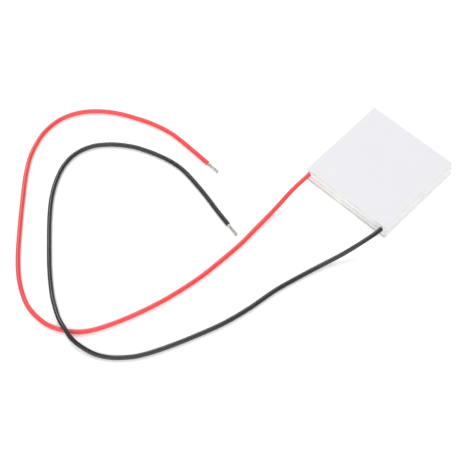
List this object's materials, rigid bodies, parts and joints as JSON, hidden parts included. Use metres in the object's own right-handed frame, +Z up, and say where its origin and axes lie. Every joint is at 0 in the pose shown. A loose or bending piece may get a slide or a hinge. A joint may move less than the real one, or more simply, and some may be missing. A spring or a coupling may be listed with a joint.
{
  "type": "two-stage thermoelectric cooling module",
  "caption": "Square flat cooling module of ceramic plates around sealed layers of semiconductor pellets, with a red and a black lead that end in bare tinned strands.",
  "frame": {"origin": "middle of the underside of the lowest ceramic plate", "axes": "+Z up through the plates, from the cold side to the hot side; the leads leave the -Y side, the red one at -X and the black one at +X"},
  "size_m": [0.1331, 0.1546, 0.007],
  "materials": {
    "ceramic_white": "matte",
    "copper_tab": "satin",
    "n_pellet": "satin",
    "p_pellet": "satin",
    "sealant": "satin",
    "solder": "satin",
    "tinned_strands": "satin",
    "red_insulation": "satin",
    "black_insulation": "satin"
  },
  "bodies": {
    "root": {"cold_plate": "ceramic_white", "middle_plate": "ceramic_white", "hot_plate": "ceramic_white", "lower_cold_tabs": "copper_tab", "lower_n_pellets": "n_pellet", "lower_p_pellets": "p_pellet", "lower_hot_tabs": "copper_tab", "upper_cold_tabs": "copper_tab", "upper_n_pellets": "n_pellet", "upper_p_pellets": "p_pellet", "upper_hot_tabs": "copper_tab", "lower_seal": "sealant", "upper_seal": "sealant", "interstage_posts": "copper_tab", "red_solder": "solder", "black_solder": "solder", "red_soldered_end": "tinned_strands", "black_soldered_end": "tinned_strands", "red_lead": "red_insulation", "black_lead": "black_insulation", "red_tinned_end": "tinned_strands", "black_tinned_end": "tinned_strands"}
  },
  "joints": []
}
